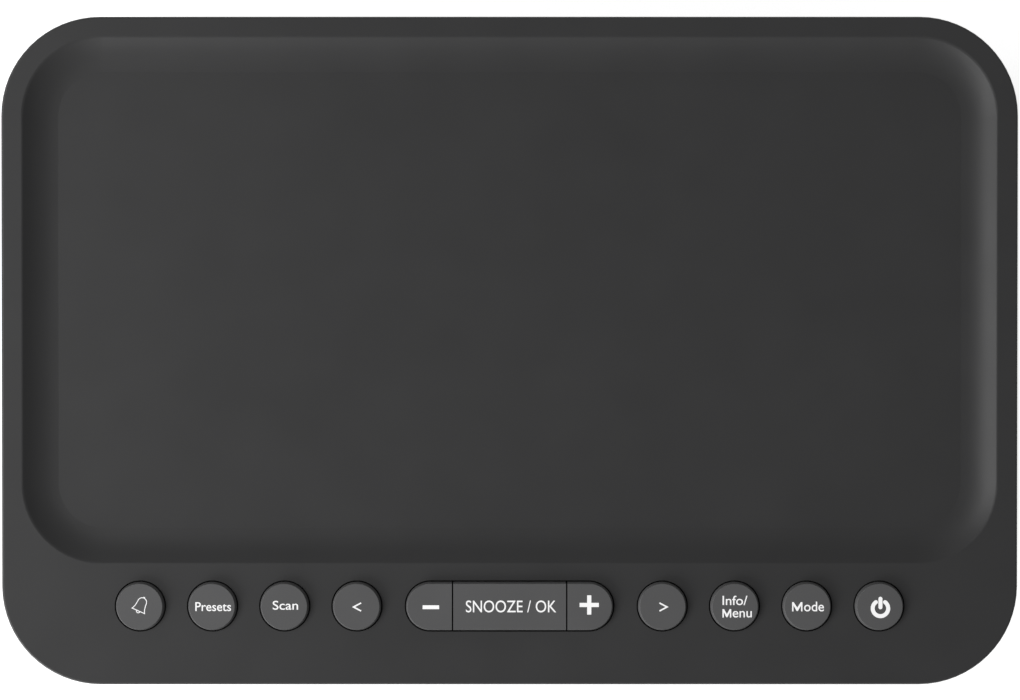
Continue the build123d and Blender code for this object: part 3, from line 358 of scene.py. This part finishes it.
def lens_material():
    """Smoked acrylic that the lit digits shine through."""
    material, tree, shader = shader_of("smoked_acrylic")
    place = tree.nodes.new("ShaderNodeTexCoord").outputs["Object"]
    haze = noise(tree, place, 90.0, 2.0)
    rough = maths(tree, "MULTIPLY_ADD", haze, 0.03, 0.02)
    tree.links.new(rough, shader.inputs["Roughness"])
    shader.inputs["Base Color"].default_value = (0.16, 0.16, 0.17, 1)
    shader.inputs["Transmission Weight"].default_value = 1.0
    shader.inputs["IOR"].default_value = 1.49
    return material


def lit_material(name, colour, strength):
    """A glowing surface with a slight unevenness of its light."""
    material, tree, shader = shader_of(name)
    place = tree.nodes.new("ShaderNodeTexCoord").outputs["Object"]
    share = swing(tree, 1.0, 0.08, noise(tree, place, 150.0, 1.0))
    base = tree.nodes.new("ShaderNodeRGB")
    base.outputs[0].default_value = (*colour, 1)
    tree.links.new(tinted(tree, base.outputs[0], share), shader.inputs["Emission Color"])
    shader.inputs["Base Color"].default_value = (*colour, 1)
    shader.inputs["Emission Strength"].default_value = strength
    return material


def slot_materials():
    """The finish of each of the record's material slots."""
    grey = 0.046
    return {
        "casing": finished("casing_plastic", (grey, grey, 1.02 * grey), 0.46, 0.22, 0.006),
        "base_plastic": finished("base_plastic", (0.03, 0.03, 0.031), 0.6, 0.5, 0.03),
        "key_plastic": finished("key_plastic", (0.130, 0.130, 0.132), 0.45, 0.2, 0.003),
        "rubber": finished("black_rubber", (0.015, 0.015, 0.015), 0.8, 0.4, 0.03),
        "screw_steel": finished(
            "zinc_steel", (0.48, 0.48, 0.46), 0.32, 0.25, 0.006, DRAWN, Metallic=1.0
        ),
        "smoked_lens": lens_material(),
        "display_glass": finished("display_glass", (0.01, 0.012, 0.016), 0.12, 0.6, 0.001),
        "light_guide": finished("light_guide", (0.75, 0.77, 0.8), 0.25, 0.8, 0.02),
        "white_plastic": finished("white_nylon", (0.62, 0.61, 0.56), 0.5, 0.4, 0.01),
        "circuit_board": circuit_board_material(),
        "switch_plastic": finished("black_nylon", (0.012, 0.012, 0.013), 0.45, 0.3, 0.012),
        "basket_paint": finished("basket_paint", (0.02, 0.02, 0.02), 0.35, 0.7, 0.02),
        "magnet_steel": finished("ferrite", (0.06, 0.06, 0.065), 0.55, 0.35, 0.03),
        "foam": finished("open_foam", (0.02, 0.02, 0.021), 0.95, 0.45, 0.25),
        "grille_cloth": cloth_material(),
        "tin_plate": finished(
            "tin_plate", (0.62, 0.61, 0.58), 0.28, 0.3, 0.004, DRAWN, Metallic=1.0
        ),
        "chip_epoxy": finished("moulded_epoxy", (0.014, 0.014, 0.015), 0.55, 0.12, 0.01),
        "can_aluminium": finished(
            "drawn_aluminium", (0.7, 0.7, 0.72), 0.3, 0.2, 0.004, DRAWN, Metallic=1.0
        ),
        "wire_cover": finished("wire_cover", (0.3, 0.012, 0.01), 0.4, 0.5, 0.005),
        "cone_paper": finished("pressed_paper", (0.02, 0.02, 0.021), 0.8, 0.5, 0.06),
    }


MATERIALS = slot_materials()
# The legends' print glows as painted light. Unlike the display's digits, it is no lamp.
INK_WITH_PAINTED_GLOW = lit_material("legend_ink_painted_glow", (0.95, 0.95, 0.95), INK_PAINTED_GLOW)
DIGIT_GLOW = lit_material("digit_glow", (0.75, 0.87, 1.0), LIT_GLOW)
CONTACT_GOLD = finished(
    "contact_gold", (0.72, 0.5, 0.2), 0.25, 0.2, 0.003, DRAWN, Metallic=1.0
)


def finish_cad_nodes():
    """Each CAD node gets the finish of its slot."""
    for row in frame["record"]["subparts"]:
        node = frame["nodes"][row["node"]]
        node.data.materials.clear()
        node.data.materials.append(MATERIALS[row["material_slot"]])


# ---- Making pieces --------------------------------------------------------------------------
def piece(name, bm, material, body, smooth_below=radians(35)):
    """A finished piece from a bmesh in place: it rides on a body and has one material."""
    bmesh.ops.recalc_face_normals(bm, faces=bm.faces)
    for face in bm.faces:
        face.smooth = True
    for edge in bm.edges:
        edge.smooth = len(edge.link_faces) == 2 and edge.calc_face_angle(0) < smooth_below
    mesh = bpy.data.meshes.new(name)
    bm.to_mesh(mesh)
    bm.free()
    mesh.materials.append(material)
    made = bpy.data.objects.new(name, mesh)
    bpy.context.scene.collection.objects.link(made)
    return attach(made, body)


def body_of(node):
    """The CAD body that a node belongs to."""
    bodies = frame["record"]["behaviour"]["bodies"]
    return next(body for body, members in bodies.items() if node in members)


def key_top(node):
    """The middle of a key's flat top. A key's flange is centred on it, or on its hole."""
    low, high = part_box(node)
    return Vector(((low.x + high.x) / 2, (low.y + high.y) / 2, high.z))


def thicken(bm, thickness):
    """Gives the flat faces in bm a thickness, upwards."""
    lifted = bmesh.ops.extrude_face_region(bm, geom=bm.faces[:])
    tops = [v for v in lifted["geom"] if isinstance(v, bmesh.types.BMVert)]
    bmesh.ops.translate(bm, verts=tops, vec=(0, 0, thickness))


def flat_face(bm, points):
    """One flat face through points in the XY plane."""
    return bm.faces.new([bm.verts.new((x, y, 0)) for x, y in points])


def bar(bm, x0, x1, y0, y1, radius=0.0, segments=6):
    """A flat bar, with its corners rounded if a radius is given."""
    corners = bmesh.ops.create_grid(bm, x_segments=1, y_segments=1, size=0.5)["verts"]
    bmesh.ops.scale(bm, vec=(x1 - x0, y1 - y0, 1), verts=corners)
    bmesh.ops.translate(bm, vec=((x0 + x1) / 2, (y0 + y1) / 2, 0), verts=corners)
    if radius:
        bmesh.ops.bevel(
            bm, geom=corners, affect="VERTICES", offset=radius, segments=segments, profile=0.5,
            material=-1,
        )
        bmesh.ops.remove_doubles(bm, verts=bm.verts, dist=1e-4)


def closed_line(bm, corners, stroke):
    """A line of even weight just inside a closed run of corners, taken anticlockwise."""
    outside, inside = [], []
    for before, here, after in zip([corners[-1], *corners], corners, [*corners[1:], corners[0]]):
        arriving = (Vector(here) - Vector(before)).normalized()
        leaving = (Vector(after) - Vector(here)).normalized()
        along = (arriving + leaving).normalized()
        inward = Vector((-along.y, along.x)) * stroke / along.dot(leaving)
        outside.append(bm.verts.new((*here, 0)))
        inside.append(bm.verts.new((*(Vector(here) + inward), 0)))
    for i in range(len(corners)):
        bm.faces.new((outside[i - 1], outside[i], inside[i], inside[i - 1]))


def swept(bm, inner, outer, centre, turn, steps):
    """Turns the edge from inner to outer about a centre in the XY plane."""
    ends = [bm.verts.new((*point, 0)) for point in (inner, outer)]
    bmesh.ops.spin(
        bm, geom=[*ends, bm.edges.new(ends)], cent=(*centre, 0), axis=(0, 0, 1), angle=turn,
        steps=steps,
    )
    bmesh.ops.remove_doubles(bm, verts=bm.verts, dist=1e-4)


def place_legend(name, bm, node, origin=None):
    """Lays a flat legend, drawn in millimetres, on a key's top; its 0, 0 goes to origin."""
    top = key_top(node)
    place = Vector((origin.x, origin.y, top.z)) if origin else top
    thicken(bm, INK_THICKNESS)
    bmesh.ops.scale(bm, vec=(MM, MM, MM), verts=bm.verts)
    bmesh.ops.translate(bm, vec=place, verts=bm.verts)
    made = piece(name, bm, INK_WITH_PAINTED_GLOW, body_of(node))


# ---- Legends ---------------------------------------------------------------------------------
def word_legend(name, node, words, left, right, low, high, weight):
    """Printed words, fitted to the place between left and right and between low and high."""
    text = bpy.data.curves.new(name, "FONT")
    text.body = words
    text.offset = weight
    text.resolution_u = 6
    holder = bpy.data.objects.new(f"{name}_curve", text)
    bpy.context.scene.collection.objects.link(holder)
    bpy.context.view_layer.update()
    flat = bpy.data.meshes.new_from_object(holder)
    bpy.data.objects.remove(holder)
    bm = bmesh.new()
    bm.from_mesh(flat)
    bmesh.ops.remove_doubles(bm, verts=bm.verts, dist=1e-5)
    xs = [v.co.x for v in bm.verts]
    ys = [v.co.y for v in bm.verts]
    wide = (right - left) / (max(xs) - min(xs))
    tall = (high - low) / (max(ys) - min(ys))
    bmesh.ops.translate(bm, vec=(-min(xs), -min(ys), 0), verts=bm.verts)
    bmesh.ops.scale(bm, vec=(wide, tall, 1), verts=bm.verts)
    bmesh.ops.translate(bm, vec=(left, low, 0), verts=bm.verts)
    place_legend(name, bm, node)


def capital_legend(name, node, left, right, low, high):
    """A capital of two upright legs and a wedge between them."""
    width, height = right - left, high - low
    middle = width / 2
    leg = CAPITAL_STROKE
    foot = CAPITAL_FOOT * leg
    slant = CAPITAL_SLANT * leg
    shoulder = CAPITAL_SHOULDER * height
    foot_y, notch_y = (share * height for share in CAPITAL_WEDGE)
    underside = [
        (leg, 0), (leg, shoulder), (middle - foot, foot_y), (middle + foot, foot_y),
        (width - leg, shoulder), (width - leg, 0),
    ]
    top = [
        (width, 0), (width, height), (width - slant, height), (middle, notch_y),
        (slant, height), (0, height), (0, 0),
    ]
    bm = bmesh.new()
    flat_face(bm, [(left + x, low + y) for x, y in (*underside, *top)])
    place_legend(name, bm, node)


def arrow_legend(name, node, direction):
    """A chevron of even stroke that points along direction, 1 or -1."""
    width, height = ARROW_SIZE
    lean = atan2(height / 2, width)
    half = ARROW_STROKE / 2
    end = Vector((-width / 2, height / 2))
    across = half * Vector((sin(lean), cos(lean)))
    tip = Vector((half / sin(lean), 0))
    point = Vector((width / 2, 0))
    upper = [end - across, end + across]
    lower = [Vector((v.x, -v.y)) for v in reversed(upper)]
    bm = bmesh.new()
    flat_face(bm, [*upper, point + tip, *lower, point - tip])
    bmesh.ops.scale(bm, vec=(direction, 1, 1), verts=bm.verts)
    bmesh.ops.translate(bm, vec=(*ARROW_PLACE, 0), verts=bm.verts)
    place_legend(name, bm, node)


def sign_legends():
    """The minus and the plus at the two ends of the long key."""
    middle = key_top("key_snooze")
    half = MINUS_STROKE / 2
    x, y = MINUS_PLACE
    bm = bmesh.new()
    bar(bm, x - MINUS_LENGTH / 2, x + MINUS_LENGTH / 2, y - half, y + half)
    place_legend("legend_minus", bm, "key_minus", middle)
    x, y = PLUS_PLACE
    half = PLUS_STROKE / 2
    reach = PLUS_LENGTH / 2
    quarter = [(reach, -half), (reach, half), (half, half)]
    outline = [
        Matrix.Rotation(pi / 2 * turn, 2) @ Vector(point) + Vector((x, y))
        for turn in range(4) for point in quarter
    ]
    bm = bmesh.new()
    flat_face(bm, outline)
    place_legend("legend_plus", bm, "key_plus", middle)


def power_legend():
    """A ring that is open at the top, with a round-ended bar in the opening."""
    centre = Vector(POWER_PLACE)
    half = POWER_STROKE / 2
    bm = bmesh.new()
    for side in 1, -1:
        start = pi / 2 + side * POWER_GAP
        ray = Vector((cos(start), sin(start)))
        end = centre + POWER_RING_R * ray
        swept(bm, end, end + half * ray, end, -side * pi, 12)
        inner, outer = (centre + (POWER_RING_R + reach) * ray for reach in (-half, half))
        swept(bm, inner, outer, centre, side * (pi - POWER_GAP), 24)
    low, high = (centre.y + y for y in POWER_BAR)
    bar(bm, centre.x - half, centre.x + half, low, high, half, 12)
    place_legend("legend_power", bm, "key_power")


def bell_legend():
    """A leaning outline of a bell with its knob and clapper."""
    dome_y = BELL_HEIGHT - BELL_DOME_R
    steps = 16
    dome = [
        (BELL_DOME_R * cos(pi * i / steps), dome_y + BELL_DOME_R * sin(pi * i / steps))
        for i in range(steps + 1)
    ]
    left_side = [(-x, y) for x, y in BELL_SIDE]
    bm = bmesh.new()
    closed_line(bm, [*reversed(BELL_SIDE), *dome, *left_side], BELL_STROKE)
    swept(bm, (-CLAPPER_R, 0), (BELL_STROKE - CLAPPER_R, 0), (0, 0), pi, 12)
    bar(bm, -BELL_STROKE, BELL_STROKE, BELL_HEIGHT, BELL_HEIGHT + BELL_STROKE, BELL_STROKE / 3, 3)
    lean = Matrix.Rotation(BELL_LEAN, 3, "Z")
    bmesh.ops.rotate(bm, cent=(0, 0, 0), matrix=lean, verts=bm.verts)
    bmesh.ops.translate(bm, vec=(*BELL_PLACE, 0), verts=bm.verts)
    place_legend("legend_alarm", bm, "key_alarm")


# ---- Grille cloth ---------------------------------------------------------------------------
def grille_cloth(side, name):
    """Woven cloth, cut flat and wrapped round the corner behind one side's slots."""
    shell_low, shell_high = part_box("front_shell")
    cloth_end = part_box("speaker_cloths")[1].y / MM
    inset = WALL + CLOTH_BEHIND_WALL
    corner_x = shell_high.x / MM - CORNER_R
    corner_y = shell_low.y / MM + CORNER_R
    radius = CORNER_R - inset
    flat_run = corner_x - CLOTH_START_X
    bend_run = radius * pi / 2
    width = flat_run + bend_run + cloth_end - corner_y
    height = CLOTH_HIGH - CLOTH_LOW

    bm = bmesh.new()
    bmesh.ops.create_grid(
        bm, x_segments=round(width / CLOTH_CELL), y_segments=round(height / CLOTH_CELL), size=0.5
    )
    bmesh.ops.translate(bm, vec=(0.5, 0.5, 0), verts=bm.verts)
    bmesh.ops.scale(bm, vec=(width, height, 1), verts=bm.verts)
    uv = bm.loops.layers.uv.new("UVMap")
    for face in bm.faces:
        for loop in face.loops:
            loop[uv].uv = loop.vert.co.xy / (2 * THREAD_PITCH)
    for vert in bm.verts:
        run, up = vert.co.xy
        turn = min(max(run - flat_run, 0) / radius, pi / 2)
        x = CLOTH_START_X + min(run, flat_run) + radius * sin(turn)
        y = corner_y - radius * cos(turn) + max(run - flat_run - bend_run, 0)
        vert.co = Vector((side * x, y, CLOTH_LOW + up)) * MM
    made = piece(name, bm, MATERIALS["grille_cloth"], BODY)
    solid = made.modifiers.new("thickness", "SOLIDIFY")
    solid.thickness = CLOTH_T * MM
    solid.offset = 0
    return made


# ---- Display ---------------------------------------------------------------------------------
def segment_bar(bm, name, x, y, size):
    """One bar of a seven-segment digit whose lower left corner is at x, y."""
    w, h, t = DIGIT_W * size, DIGIT_H * size, DIGIT_STROKE * size
    places = {
        "a": (0, h, w, h), "g": (0, h / 2, w, h / 2), "d": (0, 0, w, 0),
        "f": (0, h / 2, 0, h), "b": (w, h / 2, w, h), "e": (0, 0, 0, h / 2), "c": (w, 0, w, h / 2),
    }
    x0, y0, x1, y1 = places[name]
    start, end = Vector((x0, y0)), Vector((x1, y1))
    along = (end - start).normalized()
    across = Vector((-along.y, along.x))
    start += along * DIGIT_GAP * t
    end -= along * DIGIT_GAP * t
    outline = [
        start, start + (along + across) * t / 2, end + (across - along) * t / 2,
        end, end - (along + across) * t / 2, start + (along - across) * t / 2,
    ]
    flat_face(bm, [(x + p.x + DIGIT_SLANT * p.y, y + p.y) for p in outline])


def digits(bm, text, x, y, size):
    """Seven-segment figures and a colon, drawn from x, y."""
    for mark in text:
        if mark == ":":
            r = COLON_R * size
            for share in COLON_HEIGHTS:
                dot_y = DIGIT_H * size * share
                dot_x = x + DIGIT_SLANT * dot_y
                bar(bm, dot_x - r, dot_x + r, y + dot_y - r, y + dot_y + r, r)
            x += DIGIT_STROKE * COLON_SPACE * size
            continue
        for name in BARS[mark]:
            segment_bar(bm, name, x, y, size)
        x += (DIGIT_W + DIGIT_STROKE * DIGIT_SPACE) * size


def lit_display():
    """The time, a smaller alarm time and level bars, lit on the front of the panel."""
    low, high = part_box("lcd_panel")
    centre = (low + high) / 2
    bm = bmesh.new()
    digits(bm, "10:08", *TIME_PLACE, 1.0)
    digits(bm, "06:45", *ALARM_PLACE, ALARM_SCALE)
    x, y = LEVEL_PLACE
    for i in range(LEVEL_BARS):
        left = x + LEVEL_PITCH * i
        top = y + LEVEL_BAR_W + LEVEL_STEP * i
        bar(bm, left, left + LEVEL_BAR_W, y, top, LEVEL_BAR_R, 3)
    thicken(bm, LIT_T)
    bmesh.ops.scale(bm, vec=(MM, MM, MM), verts=bm.verts)
    upright = Matrix.Rotation(pi / 2, 3, "X")
    bmesh.ops.rotate(bm, cent=(0, 0, 0), matrix=upright, verts=bm.verts)
    bmesh.ops.translate(bm, vec=(centre.x, low.y, centre.z), verts=bm.verts)
    made = piece("display_digits", bm, DIGIT_GLOW, BODY)


# ---- Sockets ----------------------------------------------------------------------------------
def usb_contacts():
    """Four gilt strips on the underside of the socket's tongue."""
    low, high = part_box("usb_tongue")
    bm = bmesh.new()
    length = (high.y - low.y) * CONTACT_SHARE
    y = high.y - length / 2 - CONTACT_FROM_END * MM
    for i in range(CONTACTS):
        x = low.x + (high.x - low.x) * (i + 0.5) / CONTACTS
        strip = bmesh.ops.create_cube(bm, size=1.0)["verts"]
        bmesh.ops.scale(bm, vec=(CONTACT_W * MM, length, CONTACT_T * MM), verts=strip)
        bmesh.ops.translate(bm, vec=(x, y, low.z - CONTACT_SUNK * MM), verts=strip)
    bmesh.ops.bevel(
        bm, geom=bm.edges, affect="EDGES", offset=CONTACT_EDGE_R * MM, segments=2, profile=0.5,
        material=-1,
    )
    made = piece("usb_contacts", bm, CONTACT_GOLD, BODY)


# ---- Setting ----------------------------------------------------------------------------------
def floor():
    """A pale sheet that the radio stands on."""
    bm = bmesh.new()
    bmesh.ops.create_grid(bm, x_segments=1, y_segments=1, size=3.0)
    mesh = bpy.data.meshes.new("floor")
    bm.to_mesh(mesh)
    bm.free()
    material, tree, shader = shader_of("pale_floor")
    shader.inputs["Base Color"].default_value = (0.9, 0.9, 0.9, 1)
    shader.inputs["Roughness"].default_value = 0.9
    shader.inputs["Emission Color"].default_value = (1, 1, 1, 1)
    shader.inputs["Emission Strength"].default_value = FLOOR_GLOW
    mesh.materials.append(material)
    sheet = bpy.data.objects.new("floor", mesh)
    bpy.context.scene.collection.objects.link(sheet)


def camera():
    """Looks straight down on the top cover, leaning a little towards the front."""
    data = bpy.data.cameras.new("camera")
    data.sensor_width = SENSOR
    data.lens = SENSOR * CAMERA_DISTANCE / VIEW_WIDTH
    view = bpy.data.objects.new("camera", data)
    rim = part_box("top_cover")[1].z
    back = Vector((0, sin(CAMERA_TILT), cos(CAMERA_TILT)))
    view.location = Vector((*CAMERA_AIM, rim)) + CAMERA_DISTANCE * back
    view.rotation_euler = (-CAMERA_TILT, 0, 0)
    data.clip_start = 0.01
    bpy.context.scene.collection.objects.link(view)
    bpy.context.scene.camera = view


def lights():
    """Four soft boxes and an even pale surround."""
    target = Vector((0, 0, 0.05))
    for name, place, width, height, power in LIGHTS:
        data = bpy.data.lights.new(name, "AREA")
        data.shape = "RECTANGLE"
        data.size = width
        data.size_y = height
        data.energy = power
        lamp = bpy.data.objects.new(name, data)
        lamp.location = place
        lamp.rotation_euler = (target - Vector(place)).to_track_quat("-Z", "Y").to_euler()
        bpy.context.scene.collection.objects.link(lamp)
    world = bpy.data.worlds.new("surround")
    world.use_nodes = True
    world.node_tree.nodes["Background"].inputs["Color"].default_value = (1, 1, 1, 1)
    world.node_tree.nodes["Background"].inputs["Strength"].default_value = AMBIENT
    bpy.context.scene.world = world
    bpy.context.scene.view_settings.view_transform = "Standard"


camera()
lights()
floor()
finish_cad_nodes()
for row in WORDS:
    word_legend(*row)
for row in CAPITALS:
    capital_legend(*row)
arrow_legend("legend_previous", "key_previous", -1)
arrow_legend("legend_next", "key_next", 1)
sign_legends()
power_legend()
bell_legend()
right_cloth = grille_cloth(1, "grille_cloth_right")
grille_cloth(-1, "grille_cloth_left")
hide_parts("speaker_cloths")
lit_display()
usb_contacts()
